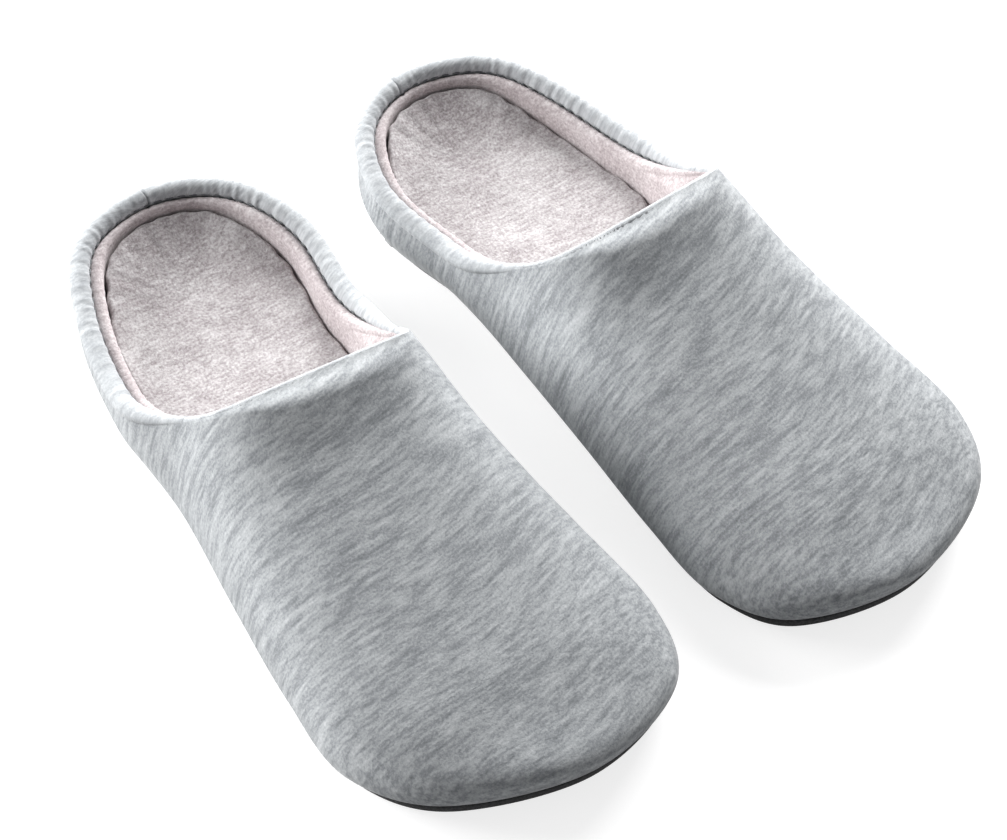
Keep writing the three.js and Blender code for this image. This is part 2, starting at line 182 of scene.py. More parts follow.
# The outline at its widest level, a closed smooth curve, and its outward direction.
def outline(u):
    place = np.mod(u, 1.0) * len(KNOTS)
    knot = np.floor(place).astype(int)
    f = (place - knot)[..., None]
    a, b, c, d = (KNOTS[(knot + step) % len(KNOTS)] for step in (-1, 0, 1, 2))
    point = b + 0.5 * f * (c - a + f * (2 * a - 5 * b + 4 * c - d + f * (3 * b - a - 3 * c + d)))
    slope = 0.5 * (c - a + 2 * f * (2 * a - 5 * b + 4 * c - d) + 3 * f * f * (3 * b - a - 3 * c + d))
    slope /= np.linalg.norm(slope, axis=-1, keepdims=True)
    return point, np.stack((slope[..., 1], -slope[..., 0]), axis=-1)


HALF = np.linspace(0, 0.5, 600)
OUTSIDE = outline(HALF)[0]
INSIDE = outline(-HALF)[0]


def breadth(y):
    return np.interp(y, OUTSIDE[:, 1], OUTSIDE[:, 0]), np.interp(y, INSIDE[:, 1], INSIDE[:, 0])


# Height of the last's middle: a smooth curve that never overshoots its knots.
def spine_height(y):
    along, height = np.array(SPINE, float).T
    steps = np.diff(height) / np.diff(along)
    slopes = np.zeros(len(along))
    product = steps[:-1] * steps[1:]
    total = np.where(steps[:-1] + steps[1:] == 0, 1, steps[:-1] + steps[1:])
    slopes[1:-1] = np.where(product > 0, 2 * product / total, 0)
    share = np.clip(y / LENGTH, 0, 0.9999)
    i = np.clip(np.searchsorted(along, share, side="right") - 1, 0, len(along) - 2)
    span = along[i + 1] - along[i]
    t = (share - along[i]) / span
    rise = height[i + 1] - height[i]
    start = slopes[i] * span
    end = slopes[i + 1] * span
    return height[i] + start * t + (3 * rise - 2 * start - end) * t**2 + (start + end - 2 * rise) * t**3


def rounded(share, power):
    return (1 - np.clip(share, 0, 1) ** power) ** (1 / power)


def last_height(x, y):
    outside, inside = breadth(y)
    across = np.abs(x - (outside + inside) / 2) / np.maximum((outside - inside) / 2, 0.001)
    toe = (y - TOE_FROM * LENGTH) / ((1 - TOE_FROM) * LENGTH)
    heel = (HEEL_ROUND - y) / HEEL_ROUND
    full = rounded(across, SECTION_POWER) * rounded(toe, TOE_POWER) * rounded(heel, 4)
    return BULGE + (spine_height(y) - BULGE) * full


def topline(y):
    along = y / LENGTH
    dip = np.sin(np.clip(along / WAIST_AT, 0, 1) * math.pi / 2) ** 2
    climb = np.clip((along - WAIST_AT) / (MOUTH_AT - WAIST_AT), 0, 1.5)
    return mix(HEEL_WALL, WAIST_WALL, dip) + MOUTH_RISE * climb**2


# How far in from the outline the upper reaches its topline, from a table round the slipper.
def reach_table():
    places = np.linspace(0, 1, 721)
    rim = outline(places)[0]

    def above(share):
        track = mix(rim, FOOT_MIDDLE, share[:, None])
        return last_height(track[:, 0], track[:, 1]) - topline(track[:, 1])
    shares = np.linspace(0, 1, 101)
    first = np.argmax([above(np.full_like(places, share)) >= 0 for share in shares], axis=0)
    return places, crossing(above, shares[first - 1], shares[first])


REACH = reach_table()


def share_along(u):
    return outline(u)[0][..., 1] / LENGTH


def round_from_heel(u):
    return np.abs(np.mod(u + 0.5, 1) - 0.5)


def heel_share(u):
    return 1 - smooth(share_along(u), *HEEL_PART)


# Behind the heel the terry is pulled flatter than along the sides.
def side_share(u):
    return mix(0.35, 1, smooth(round_from_heel(u), *FLAT_HEEL_PART))


def pillow_share(u):
    return side_share(u) * (1 - smooth(share_along(u), *PILLOW_PART))


def puff(u, z):
    return HEEL_PUFF * heel_share(u) * smooth(z, MARGIN_LEVEL, 20)


# The outer skin: u runs round the slipper from the heel over its outside, t from the turned-in
# margin (-2) over the feather edge (-1) and the widest level (0) to the topline (1).
def skin(u, t):
    u, t = np.broadcast_arrays(u, t)
    rim, out = outline(u)
    turn = np.clip(1 + t, 0, 1) * math.pi / 2
    inset = FEATHER_ROUND * (1 - np.sin(turn)) + np.maximum(-1 - t, 0) * LASTING_MARGIN
    low_z = BULGE - (BULGE - MARGIN_LEVEL) * np.cos(turn)
    reach = np.interp(np.mod(u, 1), *REACH)
    on_last = mix(rim, FOOT_MIDDLE, (reach * np.maximum(t, 0) ** ROW_CROWD)[..., None])
    high_z = np.maximum(last_height(on_last[..., 0], on_last[..., 1]), BULGE)
    z = np.where(t < 0, low_z, high_z)
    flat = np.where((t < 0)[..., None], rim - out * inset[..., None], on_last)
    flat = flat + out * puff(u, z)[..., None]
    return np.concatenate((flat, z[..., None]), axis=-1)


def unit(vectors):
    return vectors / np.maximum(np.linalg.norm(vectors, axis=-1, keepdims=True), 1e-9)


def skin_normal(u, t):
    along_rim = skin(u + 0.003, t) - skin(u - 0.003, t)
    up_wall = skin(u, np.minimum(t + 0.01, 1)) - skin(u, np.maximum(t - 0.01, -2))
    return unit(np.cross(along_rim, up_wall))


def under(u, t, depth):
    return skin(u, t) - skin_normal(u, t) * np.asarray(depth)[..., None]


# The t that lies a distance short of the topline, and the t where a depth is at a level.
def set_back(u, distance):
    top = skin(u, np.ones_like(u))
    return crossing(lambda t: distance - np.linalg.norm(skin(u, t) - top, axis=-1),
                    np.full_like(u, 0.2), np.ones_like(u))


def level_at(u, level, depth):
    return crossing(lambda t: under(u, t, depth)[..., 2] - level, np.full_like(u, -1.0), np.ones_like(u))


# ---- Wall build-up ----
def counter_share(u):
    return 1 - smooth(round_from_heel(u), *COUNTER_PART)


def foam_outer(u):
    return KNIT + GAP + (COUNTER + GAP) * counter_share(u)


def foam_inner(u, t):
    full = mix(FOAM_VAMP, FOAM_HEEL, heel_share(u))
    pinch = smooth(t, 0.75, 1) * (1 - heel_share(u))
    waist = smooth(share_along(u), 0.16, 0.4)
    swell = PILLOW * (1 + 0.8 * waist) * pillow_share(u) * (1 - smooth(t, 0.72, 1))
    return foam_outer(u) + full * (1 - 0.55 * pinch) + swell


def lining_inner(u, t):
    return foam_inner(u, t) + GAP + LINING


# ---- Decks of the sole, before the toe is sprung ----
def midsole_top(y):
    return MARGIN_LEVEL + KNIT + GAP + mix(MIDSOLE_HEEL, MIDSOLE_TOE, smooth(y / LENGTH, 0.25, 0.75))


def board_top(y):
    return midsole_top(y) + GAP + INSOLE_BOARD


def heel_cup(y):
    return HEEL_CUP * (1 - smooth(y, 0, HEEL_CUP_LENGTH))


def foam_top(y):
    return board_top(y) + GAP + FOOTBED_FOAM + heel_cup(y)


# ---- From the slipper's frame to the pair ----
def sprung(points):
    bend = np.clip((points[..., 1] / LENGTH - SPRING_FROM) / (1 - SPRING_FROM), 0, 1.05)
    lifted = points.copy()
    lifted[..., 2] += TOE_SPRING * bend**2
    return lifted


def turned(points):
    x = points[..., 0]
    y = points[..., 1] - LENGTH / 2
    turned_x = x * math.cos(TOE_OUT) + y * math.sin(TOE_OUT) + PAIR_SPACING / 2
    turned_y = -x * math.sin(TOE_OUT) + y * math.cos(TOE_OUT)
    return np.stack((turned_x, turned_y, points[..., 2]), axis=-1)


# The solid model centres the pair on its box, so the shift along y is read from the frame.
def pair_shift():
    u, t = np.meshgrid(np.linspace(0, 1, 361), np.linspace(-1, 1, 41))
    y = turned(skin(u, t))[..., 1]
    low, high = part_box("right_upper_knit")
    return (low.y + high.y) / 2 / MM - (y.min() + y.max()) / 2


SHIFT = pair_shift()


def in_pair(points, side):
    placed = turned(sprung(points))
    placed[..., 1] += SHIFT
    if side == "left":
        placed[..., 0] *= -1
    return placed * MM


# ---- Meshes ----
def linked(name, data):
    thing = bpy.data.objects.new(name, data)
    bpy.context.scene.collection.objects.link(thing)
    return thing


# A grid of columns round and rows across, its vertices moved to a place worked out from their
# shares, its seams and poles welded. The cloth's own coordinates go with it as an attribute.
def lofted(name, side, columns, rows, place, material, crumple=None):
    work = bmesh.new()
    work.loops.layers.uv.new("UVMap")
    bmesh.ops.create_grid(work, x_segments=columns, y_segments=rows, size=0.5, calc_uvs=True)
    mesh = bpy.data.meshes.new(f"{side}_{name}_soft")
    work.to_mesh(mesh)
    work.free()
    shares = np.zeros(len(mesh.vertices) * 3)
    mesh.vertices.foreach_get("co", shares)
    u, v = shares.reshape(-1, 3)[:, :2].T + 0.5
    grid_u = np.round(u * columns).astype(int)
    grid_v = np.round(v * rows).astype(int)
    u_line = np.arange(columns + 1) / columns
    v_line = np.arange(rows + 1) / rows
    points = place(*np.meshgrid(u_line, v_line, indexing="ij"))
    cloth = cloth_coordinates(points, side)
    if crumple:
        points = crumple(points)
    placed = in_pair(points, side)[grid_u, grid_v]
    mesh.vertices.foreach_set("co", placed.ravel().astype(np.float32))
    attribute = mesh.attributes.new("cloth", "FLOAT_VECTOR", "POINT")
    attribute.data.foreach_set("vector", (cloth[grid_u, grid_v] * MM).ravel().astype(np.float32))
    work = bmesh.new()
    work.from_mesh(mesh)
    bmesh.ops.remove_doubles(work, verts=work.verts, dist=0.00001)
    bmesh.ops.recalc_face_normals(work, faces=work.faces)
    work.to_mesh(mesh)
    work.free()
    mesh.shade_smooth()
    mesh.materials.append(material)
    return linked(mesh.name, mesh)


# The jersey's coordinates: across the foot and down its sides, along it, and down the toe and
# heel, so that the knit's courses cross the foot everywhere, a little askew as it was lasted.
def cloth_coordinates(points, side):
    x, y, z = np.moveaxis(points, -1, 0)
    outside, inside = breadth(np.clip(y, 0, LENGTH))
    middle = (outside + inside) / 2
    off = x - middle
    drop = np.clip(last_height(middle, np.clip(y, 0, LENGTH)) - z, 0, None)
    across = off + np.tanh(off / SIDE_ROUND) * 0.5 * drop
    front = smooth(y, 0.8 * LENGTH, LENGTH)
    rightward = off * (-1 if side == "right" else 1)
    askew = COURSE_SKEW * (rightward + np.hypot(rightward, SKEW_ROUND)) / 2
    swept = drop * COURSE_SWEEP * (1 - front)
    ends = front + 0.5 * (1 - smooth(y, -8, 0.22 * LENGTH))
    return np.stack((across, y + askew + swept, z * ends), axis=-1)


def fine_noise(points, size, seed):
    flat = points.reshape(-1, 3) / size + seed
    return np.array([noise.noise(Vector(p)) for p in flat]).reshape(points.shape[:-1])


# ---- Materials ----
def linear(hex_colour):
    channels = [int(hex_colour[i:i + 2], 16) / 255 for i in (0, 2, 4)]
    return (*[c / 12.92 if c <= 0.04045 else ((c + 0.055) / 1.055) ** 2.4 for c in channels], 1.0)


def add_node(tree, kind, settings=None, **inputs):
    node = tree.nodes.new(kind)
    for key, value in (settings or {}).items():
        setattr(node, key, value)
    for key, value in inputs.items():
        socket = node.inputs[int(key[1:]) if key[1:].isdigit() else key.replace("_", " ")]
        if isinstance(value, bpy.types.NodeSocket):
            tree.links.new(value, socket)
        else:
            socket.default_value = value
    return node


def blank(name):
    material = bpy.data.materials.new(name)
    material.use_nodes = True
    material.node_tree.nodes.clear()
    return material, material.node_tree


def finished(tree, shader):
    add_node(tree, "ShaderNodeOutputMaterial", Surface=shader.outputs[0])


def ramp(tree, value, *stops):
    node = add_node(tree, "ShaderNodeValToRGB", Fac=value)
    band = node.color_ramp
    while len(band.elements) < len(stops):
        band.elements.new(0.5)
    for element, (position, colour) in zip(band.elements, stops):
        element.position = position
        element.color = linear(colour)
    return node.outputs["Color"]


# Adds a share of one value to another.
def added(tree, value, share, onto):
    return add_node(tree, "ShaderNodeMath", {"operation": "MULTIPLY_ADD"}, _0=value, _1=share,
                    _2=onto).outputs[0]


# The cloth's coordinates in units of a pattern's size in millimetres, across and along it.
def stretched(tree, cloth, across, along):
    scale = (1000 / across, 1000 / along, 1000 / along)
    return add_node(tree, "ShaderNodeMapping", Vector=cloth, Scale=scale).outputs[0]


# Heather-grey single jersey, ring spun from dark and pale fibre: matt, softly streaked across
# the foot where slubs of dark fibre run along the courses, with a pale fuzz at grazing angles.
def heather_jersey(name, dark, middle, pale, palest):
    material, tree = blank(name)
    cloth = add_node(tree, "ShaderNodeAttribute", {"attribute_name": "cloth"}).outputs["Vector"]
    warp = add_node(tree, "ShaderNodeTexNoise", Vector=stretched(tree, cloth, 30, 22), Scale=1.0,
                    Detail=1.0)
    sway = add_node(tree, "ShaderNodeVectorMath", {"operation": "MULTIPLY_ADD"},
                    _0=warp.outputs["Color"], _1=(0.0, 0.002, 0.002), _2=cloth).outputs[0]
    slub = add_node(tree, "ShaderNodeTexNoise", Vector=stretched(tree, sway, 11, 1.7), Scale=1.0,
                    Detail=1.5, Roughness=0.5)
    fleck = add_node(tree, "ShaderNodeTexNoise", Vector=stretched(tree, sway, 3.6, 1.0), Scale=1.0,
                     Detail=1.0, Roughness=0.5)
    # The jersey's loops are 0.9 mm apart and 0.7 mm high, and its fuzz is finer: all of it is
    # drawn as one soft grain of 0.8 mm.
    fuzz = add_node(tree, "ShaderNodeTexNoise", Vector=stretched(tree, cloth, 0.9, 0.8), Scale=1.0,
                    Detail=2.0, Roughness=0.75)
    cloud = add_node(tree, "ShaderNodeTexNoise", Vector=stretched(tree, sway, 40, 18), Scale=1.0,
                     Detail=1.0)
    streaks = added(tree, fleck.outputs[0], 0.5, slub.outputs[0])
    grained_streaks = added(tree, fuzz.outputs[0], 1.0, streaks)
    melange = added(tree, cloud.outputs[0], 0.3, grained_streaks)
    spread = add_node(tree, "ShaderNodeMapRange", _0=melange, _1=0.85, _2=1.95)
    colour = ramp(tree, spread.outputs[0], (0.05, dark), (0.35, middle), (0.62, pale), (0.95, palest))
    bump = add_node(tree, "ShaderNodeBump", Strength=0.3, Distance=0.0004, Height=fuzz.outputs[0])
    shader = add_node(tree, "ShaderNodeBsdfPrincipled", Base_Color=colour, Roughness=0.92, IOR=1.5,
                      Specular_IOR_Level=0.2, Sheen_Weight=0.3, Sheen_Roughness=0.35,
                      Sheen_Tint=(1, 1, 1, 1), Normal=bump.outputs[0])
    finished(tree, shader)
    return material


# Cotton terry, woven with a short cut pile and dyed pale rose grey: matt, finely grained over
# faint ribs, with soft smudges where the pile lies another way.
def rose_terry(name, dark, middle, light):
    material, tree = blank(name)
    cloth = add_node(tree, "ShaderNodeTexCoord").outputs["Object"]
    grain = add_node(tree, "ShaderNodeTexNoise", Vector=cloth, Scale=1000 / 0.9, Detail=2.0,
                     Roughness=0.65)
    # The ribs are 0.5 mm apart in the cloth; drawn 1.3 mm apart so that they show.
    ribs = add_node(tree, "ShaderNodeTexNoise", Vector=stretched(tree, cloth, 6.0, 1.3), Scale=1.0,
                    Detail=1.0)
    rub = add_node(tree, "ShaderNodeTexNoise", Vector=cloth, Scale=1000 / 20, Detail=3.0, Roughness=0.6)
    ribbed = added(tree, ribs.outputs[0], 0.45, grain.outputs[0])
    worn = added(tree, rub.outputs[0], 0.5, ribbed)
    spread = add_node(tree, "ShaderNodeMapRange", _0=worn, _1=0.68, _2=1.28)
    colour = ramp(tree, spread.outputs[0], (0.1, dark), (0.5, middle), (0.9, light))
    bump = add_node(tree, "ShaderNodeBump", Strength=0.45, Distance=0.0006, Height=grain.outputs[0])
    shader = add_node(tree, "ShaderNodeBsdfPrincipled", Base_Color=colour, Roughness=0.97, IOR=1.5,
                      Specular_IOR_Level=0.15, Sheen_Weight=0.3, Sheen_Roughness=0.5,
                      Sheen_Tint=linear("f2ecec"), Normal=bump.outputs[0])
    finished(tree, shader)
    return material


# A plain finish with a fine grain: for rubber, foam, board, felt, cord and thread.
def grained(name, dark, light, grain, roughness, bump_height, sheen=0.0):
    material, tree = blank(name)
    place = add_node(tree, "ShaderNodeTexCoord").outputs["Object"]
    speck = add_node(tree, "ShaderNodeTexNoise", Vector=place, Scale=1000 / grain, Detail=3.0,
                     Roughness=0.6)
    colour = ramp(tree, speck.outputs[0], (0.35, dark), (0.65, light))
    bump = add_node(tree, "ShaderNodeBump", Strength=0.6, Distance=bump_height * MM,
                    Height=speck.outputs[0])
    shader = add_node(tree, "ShaderNodeBsdfPrincipled", Base_Color=colour, Roughness=roughness, IOR=1.5,
                      Sheen_Weight=sheen, Normal=bump.outputs[0])
    finished(tree, shader)
    return material


MATERIALS = {
    "jersey_knit": heather_jersey("heather_jersey_knitted", "717577", "8a8d90", "a6a9ab", "bfc1c3"),
    # The same jersey, pulled tight over its cord and hem, drawn paler: a painted highlight of the light
    # that catches the rolled edges.
    "jersey_painted_highlight": heather_jersey("heather_jersey_painted_highlight", "8d9093", "9fa2a5", "b1b4b6", "c3c5c7"),
    # The footbed's terry is a darker copy of the lining's: painted shade on the footbed.
    "bed_painted_shade": rose_terry("rose_terry_footbed_painted_shade", "8d8687", "aea9aa", "cbc9c9"),
    "terry": rose_terry("rose_terry_lining_woven", "9f9596", "b9b0b1", "d0caca"),
    # Vulcanised rubber moulded with a fine matt grain: near black, slightly dusty.
    "rubber_outsole": grained("dark_rubber_moulded", "2c2c2d", "454546", 0.8, 0.75, 0.12),
    # Closed-cell EVA foam, skived: off white, chalky, with tiny cells.
    "eva_midsole": grained("cream_eva_foam_skived", "d9d2c4", "f2eee4", 0.6, 0.85, 0.1),
    # Cellulose insole board, pressed: buff and fibrous.
    "insole_board": grained("buff_cellulose_board_pressed", "a98f6e", "c4ac8a", 1.5, 0.9, 0.1),
    # Open-cell polyurethane foam, sliced: off white and open.
    "padding_foam": grained("white_pu_foam_sliced", "d8d4c8", "f0ede4", 0.9, 0.95, 0.3),
    # Resin-stiffened non-woven felt: beige, flat and dry.
    "heel_counter": grained("beige_nonwoven_felt_stiffened", "c4bca8", "ddd5c4", 1.1, 0.9, 0.15),
    # Cotton piping cord, twisted: natural white.
    "piping_cord": grained("white_cotton_cord_twisted", "dedacf", "f3f0e8", 0.7, 0.95, 0.2, 0.2),
    # Spun polyester thread, dyed dark grey: it reads as small dark dashes.
    "sewing_thread": grained("grey_polyester_thread_spun", "4c4f52", "6d7073", 0.4, 0.7, 0.05, 0.1),
}


# ---- Pieces of the upper ----
# A wall that goes right round: rows go up its outer face and down its inner one.
def wall(name, side, columns, rows, low, high, outer, inner, material, crumple=None):
    def place(u, v):
        line = u[:, 0]
        bottom, top = low(line), high(line)
        rise = 1 - np.abs(1 - 2 * v)
        t = mix(bottom[:, None], top[:, None], rise)
        depth = np.where(v <= 0.5, outer(u, t), inner(u, t))
        points = under(u, t, depth)
        points[:, -1] = points[:, 0]
        return points
    return lofted(name, side, columns, rows, place, material, crumple)


def wall_foot(u):
    y = outline(u)[0][..., 1]
    return level_at(u, board_top(y) + GAP + SHELL_LIFT, foam_outer(u))


def strip_share(u):
    return 1 - smooth(share_along(u), *STRIP_PART)


def roll_radius(u):
    return mix(HEM, ROLL, heel_share(u))


def knit_top(u):
    return set_back(u, roll_radius(u) * mix(0.7, 1.35, heel_share(u)))


def wall_top(u):
    return set_back(u, roll_radius(u) * 2 + 0.8)


def upper_knit(side):
    def soft_dents(points):
        swell = fine_noise(points, 34.0, 7.0 if side == "right" else 19.0)
        small = fine_noise(points, 11.0, 3.0 if side == "right" else 11.0)
        body = smooth(points[..., 2], 6, 22)[..., None]
        middle = np.array((0.0, LENGTH * 0.5, -10.0))
        return points + unit(points - middle) * (0.45 * swell + 0.1 * small)[..., None] * body
    return wall("upper_knit", side, 320, 230, lambda u: np.full_like(u, -2.0), knit_top,
                lambda u, t: 0 * t, lambda u, t: 0 * t + KNIT, MATERIALS["jersey_knit"], soft_dents)


def upper_foam(side):
    return wall("upper_foam", side, 180, 40, wall_foot, wall_top, lambda u, t: foam_outer(u),
                foam_inner, MATERIALS["padding_foam"])


def heel_counter(side):
    columns = 90

    def place(u, v):
        around = (u - 0.5) * COUNTER_SPAN
        line = around[:, 0]
        rise = 1 - np.abs(1 - 2 * v)
        t = mix(wall_foot(line)[:, None], (wall_top(line) - 0.08)[:, None], rise)
        depth = np.where(v <= 0.5, KNIT + GAP, KNIT + GAP + COUNTER)
        ends = np.minimum(1, np.minimum(u, 1 - u) * columns)
        depth = mix(KNIT + GAP + COUNTER / 2, depth, ends)
        return under(around, t, depth)
    return lofted("heel_counter", side, columns, 30, place, MATERIALS["heel_counter"])


# The place of a collar tube's middle, with its two cross axes: inwards and up.
def collar_axes(u, back, depth):
    t = set_back(u, back)
    centre = under(u, t, depth)
    inwards = -skin_normal(u, t)
    up = unit(skin(u, np.minimum(t + 0.01, 1)) - skin(u, t - 0.01))
    return centre, inwards, up


def tube(name, side, u_range, columns, rows, middle, radius, material):
    def place(u, v):
        around = mix(u_range[0], u_range[1], u)
        line = around[:, 0]
        centre, inwards, up = middle(line)
        angle = 2 * math.pi * v
        size = radius(around, angle)
        size = size * np.sqrt(np.clip(np.minimum(u, 1 - u) * columns / 3, 0, 1))
        return (centre[:, None] + inwards[:, None] * (size * np.sin(angle))[..., None]
                + up[:, None] * (size * np.cos(angle))[..., None])
    return lofted(name, side, columns, rows, place, material)


# How much the collar is pinched by its join, a short slanted seam.
def join_pinch(side, around, angle):
    slant = 0.6 * np.sin(angle)
    off = (np.mod(around - JOINS[side] + 0.5, 1) - 0.5) * RIM_LENGTH + slant
    return np.exp(-((off / JOIN_WIDTH) ** 2)) - 0.2 * np.exp(-off / JOIN_BUILD) * (off > 0)


# Uneven puckers of a gathered edge.
def puckers(around, pitch, seed):
    place = around * RIM_LENGTH / pitch
    return (np.sin(2 * math.pi * place + 1.7 * np.sin(place * 0.9 + seed))
            + 0.5 * np.sin(2 * math.pi * place * 1.73 + seed)) / 1.5


# The roll's middle, which runs into the hem's at the mouth.
def roll_middle(u):
    share = heel_share(u)
    return collar_axes(u, roll_radius(u) - ROLL_RISE * share, mix(HEM_DEPTH, ROLL_DEPTH, share))


def collar_roll(side):
    def radius(around, angle):
        size = roll_radius(around)
        gathered = 0.16 * puckers(around, 6.5, 1.0) * (0.6 + 0.4 * np.sin(angle)) * heel_share(around)
        return size + gathered - 1.2 * join_pinch(side, around, angle) * heel_share(around)
    # The roll is drawn in the paler jersey, a painted highlight.
    return tube("collar_roll", side, (-COLLAR_END, COLLAR_END), 900, 28, roll_middle, radius,
                MATERIALS["jersey_painted_highlight"])


def collar_cord(side):
    return tube("collar_cord", side, (-COLLAR_END * 0.98, COLLAR_END * 0.98), 120, 12, roll_middle,
                lambda around, angle: 0.55 * roll_radius(around), MATERIALS["piping_cord"])


def mouth_hem(side):
    def middle(u):
        return collar_axes(u, np.full_like(u, HEM), np.full_like(u, HEM_DEPTH))
    # The hem is drawn in the paler jersey, a painted highlight.
    return tube("mouth_hem", side, (COLLAR_END * 0.97, 1 - COLLAR_END * 0.97), 260, 20, middle,
                lambda around, angle: HEM + 0.05 * puckers(around, 9, 2.0), MATERIALS["jersey_painted_highlight"])


# The lining: up the inner face, swelling to the padded edge beside the roll, and back down
# inside the padding.
def upper_lining(side):
    # Where the rows of the face end and where those of the edge do.
    face_end = 0.55
    edge_end = 0.75

    def place(u, v):
        line = u[:, 0]
        share = strip_share(line)[:, None]
        foot = wall_foot(line)[:, None]
        back_off = mix(HEM, ROLL + STRIP_DROP, share[:, 0])
        size = mix(MOUTH_EDGE, STRIP * mix(0.45, 1, side_share(line)[:, None]), share)
        end = set_back(line, back_off + size[:, 0] * 0.3)[:, None]
        face = np.clip(v / face_end, 0, 1)
        t = mix(foot, end, face)
        edge_depth = mix(MOUTH_EDGE_DEPTH, STRIP_DEPTH - STRIP + size, share)
        plump = smooth(face, 0.35, 1)
        inner_face = under(u, t, mix(lining_inner(u, t), edge_depth + size, plump))
        centre, inwards, up = collar_axes(line, back_off, edge_depth[:, 0])
        turn = mix(math.pi * 0.6, -math.pi * 0.42, np.clip((v - face_end) / 0.2, 0, 1))
        gathers = 0.14 * puckers(u, 4.3, 3.0) - 0.8 * join_pinch(side, u, turn)
        size = size + gathers * share
        edge = (centre[:, None] + inwards[:, None] * (size * np.sin(turn))[..., None]
                + up[:, None] * (size * np.cos(turn))[..., None])
        back = np.clip((v - edge_end) / 0.25, 0, 1)
        t_back = mix(end, foot, back)
        outer_face = under(u, t_back, lining_inner(u, t_back) - LINING)
        points = np.where((v <= face_end)[..., None], inner_face, edge)
        points = np.where((v > edge_end)[..., None], outer_face, points)
        points[:, -1] = points[:, 0]
        return points
    return lofted("upper_lining", side, 380, 96, place, MATERIALS["terry"])


# Collar stitches: short capsules of thread in the valley between the roll and the terry edge.
def collar_thread(side):
    work = bmesh.new()
    fine = np.linspace(-COLLAR_END * 0.86, COLLAR_END * 0.86, 900)
    share = heel_share(fine)
    centre = collar_axes(fine, mix(HEM, VALLEY_DROP, share),
                         mix(MOUTH_EDGE_DEPTH, VALLEY_DEPTH, share))[0]
    placed = in_pair(centre, side)
    walked = np.concatenate(([0], np.cumsum(np.linalg.norm(np.diff(placed, axis=0), axis=1)))) / MM
    for start in np.arange(2.0, walked[-1] - STITCH, STITCH_PITCH):
        a, b = (Vector([np.interp(d, walked, placed[:, k]) for k in range(3)])
                for d in (start, start + STITCH))
        along = (b - a).normalized()
        turn = along.to_track_quat("Z", "Y").to_matrix().to_4x4()
        stretch = Matrix.Diagonal((THREAD * MM, THREAD * MM, STITCH / 2 * MM, 1))
        place = Matrix.Translation((a + b) / 2) @ turn @ stretch
        bmesh.ops.create_uvsphere(work, u_segments=8, v_segments=6, radius=1.0, matrix=place)
    mesh = bpy.data.meshes.new(f"{side}_collar_thread_soft")
    bmesh.ops.recalc_face_normals(work, faces=work.faces)
    work.to_mesh(mesh)
    work.free()
    mesh.shade_smooth()
    mesh.materials.append(MATERIALS["sewing_thread"])
    return linked(mesh.name, mesh)


# ---- Pieces of the sole ----
# A slab whose edge rows go from its bottom to its top, closed to a middle line below and above.
# The middle line runs from the heel's round to the toe's, so the columns fan out at both ends.
def slab(name, side, columns, rings, edges, material, relief):
    rows = 2 * rings + len(edges) - 1

    def place(u, v):
        line = u[:, 0]
        edge_rows = [edge(line) for edge in edges]
        y = np.clip(outline(line)[0][:, 1], 34, LENGTH - 46)
        outside, inside = breadth(y)
        heart = np.stack(((outside + inside) / 2, y), axis=-1)
        points = np.zeros(u.shape + (3,))
        for row in range(rows + 1):
            top = row > rows - rings
            if row < rings:
                share, ring = row / rings, edge_rows[0]
            elif top:
                share, ring = (rows - row) / rings, edge_rows[-1]
            else:
                share, ring = 1.0, edge_rows[row - rings]
            points[:, row, :2] = mix(heart, ring[:, :2], share)
            points[:, row, 2] = ring[:, 2]
            if row < rings or top:
                relief(points[:, row], ring, share, top)
        points[-1] = points[0]
        return points
    return lofted(name, side, columns, rows, place, material)


def edge_at(level, depth_at):
    def edge(u):
        height = level(outline(u)[0][:, 1])
        depth = depth_at(u)
        at = under(u, level_at(u, height, depth), depth)
        at[:, 2] = height
        return at
    return edge


def core_edge(level):
    return edge_at(level, lambda u: CORE_DEPTH + 0 * u)


def bed_edge(level, inset):
    def depth(u):
        ragged = 0.5 * np.sin(u * 190 + 2 * np.sin(u * 71)) + 0.4 * np.sin(u * 333)
        return lining_inner(u, 0.3 + 0 * u) + BED_INSET + inset + 0.5 * ragged
    return edge_at(level, depth)


def sole_edge(inset, z):
    def edge(u):
        rim, out = outline(u)
        toe = 1 - smooth(np.abs(np.mod(u, 1) - 0.5), *SOLE_TOE_PART)
        within = (inset - SOLE_TOE_STEP * toe)[:, None]
        return np.concatenate((rim - out * within, np.full((len(u), 1), z)), axis=-1)
    return edge


# A face takes its level from its own place, not its column's, and dips to its middle.
def bed_relief(level, points, ring, share):
    flat = level(points[:, 1]) - heel_cup(points[:, 1])
    cup = (ring[:, 2] - level(ring[:, 1]) + heel_cup(ring[:, 1])) * share**2.4
    points[:, 2] = flat + cup - FOOTBED_DISH * (1 - share**2)


def tread(points, ring, share, top):
    if not top:
        ribs = smooth(np.sin(points[:, 1] * 2 * math.pi / TREAD_PITCH), -0.35, 0.15)
        within = smooth(share, 0, 0.04) * (1 - smooth(share, 0.86, 0.92))
        points[:, 2] += TREAD_DEPTH * (1 - ribs) * within


def outsole(side):
    edges = [sole_edge(inset, z) for inset, z in OUTSOLE_EDGE]
    return slab("outsole", side, 400, 40, edges, MATERIALS["rubber_outsole"], tread)


# A layer cut from sheet, whose faces keep their own levels.
def layer(name, side, low, high):
    def relief(points, ring, share, top):
        points[:, 2] = (high if top else low)(points[:, 1])
    return slab(name, side, 160, 8, [core_edge(low), core_edge(high)], MATERIALS[SLOTS[name]], relief)


def midsole(side):
    return layer("midsole", side, lambda y: MARGIN_LEVEL + KNIT + GAP + 0 * y, midsole_top)


def insole_board(side):
    return layer("insole_board", side, lambda y: board_top(y) - INSOLE_BOARD, board_top)


